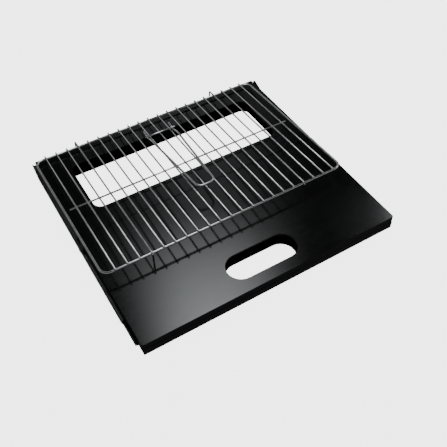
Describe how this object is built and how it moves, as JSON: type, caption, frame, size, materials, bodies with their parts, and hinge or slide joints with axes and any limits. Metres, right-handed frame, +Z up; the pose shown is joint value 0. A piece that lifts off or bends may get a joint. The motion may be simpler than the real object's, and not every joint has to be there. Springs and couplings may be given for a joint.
{
  "type": "folding camp grill",
  "caption": "Flat-folding sheet-metal charcoal grill with a pivoting scissor body, carry slot, swing-out charcoal rack and a lift-off wire grate with a folding handle.",
  "frame": {"origin": "on the ground straight below the pivot, in the middle of the folded body", "axes": "+X to the right along the pivot axis, +Y to the back, towards the feet that stay on the ground, +Z up"},
  "size_m": [0.4578, 0.4219, 0.058],
  "materials": {
    "black_paint": "satin black heat-proof paint",
    "arm_paint": "satin dark grey paint",
    "chrome": "bright chrome plating on steel wire",
    "steel": "bright zinc-plated steel",
    "rack_paint": "matt black heat-proof paint",
    "rubber": "matt black"
  },
  "bodies": {
    "root": {"foot_left": "rubber", "foot_right": "rubber"},
    "tray_panel": {"tray_plate": "black_paint", "tray_leg_frame": "black_paint", "inner_arm_left": "arm_paint", "inner_arm_right": "arm_paint", "pivot_rivet_left": "steel", "pivot_rivet_right": "steel", "pivot_washer_left": "steel", "pivot_washer_right": "steel"},
    "lid_panel": {"lid_plate": "black_paint", "lid_leg_frame": "black_paint", "outer_arm_left": "arm_paint", "outer_arm_right": "arm_paint"},
    "charcoal_rack": {"charcoal_rack": "rack_paint"},
    "grate": {"grate_frame": "chrome", "grate_bar_01": "chrome", "grate_bar_02": "chrome", "grate_bar_03": "chrome", "grate_bar_04": "chrome", "grate_bar_05": "chrome", "grate_bar_06": "chrome", "grate_bar_07": "chrome", "grate_bar_08": "chrome", "grate_bar_09": "chrome", "grate_bar_10": "chrome", "grate_bar_11": "chrome", "grate_bar_12": "chrome", "grate_bar_13": "chrome", "grate_bar_14": "chrome", "grate_bar_15": "chrome", "grate_bar_16": "chrome", "grate_bar_17": "chrome", "grate_bar_18": "chrome", "grate_bar_19": "chrome", "grate_bar_20": "chrome", "grate_bar_21": "chrome", "grate_cross_bar": "chrome", "handle_bar": "chrome"},
    "grate_handle": {"grate_handle": "chrome"}
  },
  "joints": [
    {"name": "leg_stand", "type": "hinge", "parent": "root", "child": "tray_panel", "pos_m": [0, 0.203, 0.0065], "axis": [-1, 0, 0], "range_deg": [0, 50]},
    {"name": "frame_open", "type": "hinge", "parent": "tray_panel", "child": "lid_panel", "pos_m": [0, 0, 0.013], "axis": [-1, 0, 0], "range_deg": [0, 80]},
    {"name": "rack_level", "type": "hinge", "parent": "tray_panel", "child": "charcoal_rack", "pos_m": [0, -0.0425, 0.005], "axis": [-1, 0, 0], "range_deg": [0, 130]},
    {"name": "grate_lift", "type": "slide", "parent": "root", "child": "grate", "axis": [0, 0, 1], "range_m": [0, 0.5865]},
    {"name": "handle_swing", "type": "hinge", "parent": "grate", "child": "grate_handle", "pos_m": [0, 0.149, 0.0419], "axis": [-1, 0, 0], "range_deg": [0, 100]}
  ],
  "couplings": [
    {"joint": "leg_stand", "follows": "frame_open", "ratio": 0.625},
    {"joint": "rack_level", "follows": "frame_open", "ratio": 1.625},
    {"joint": "grate_lift", "follows": "frame_open", "m_per_rad": 0.42}
  ]
}
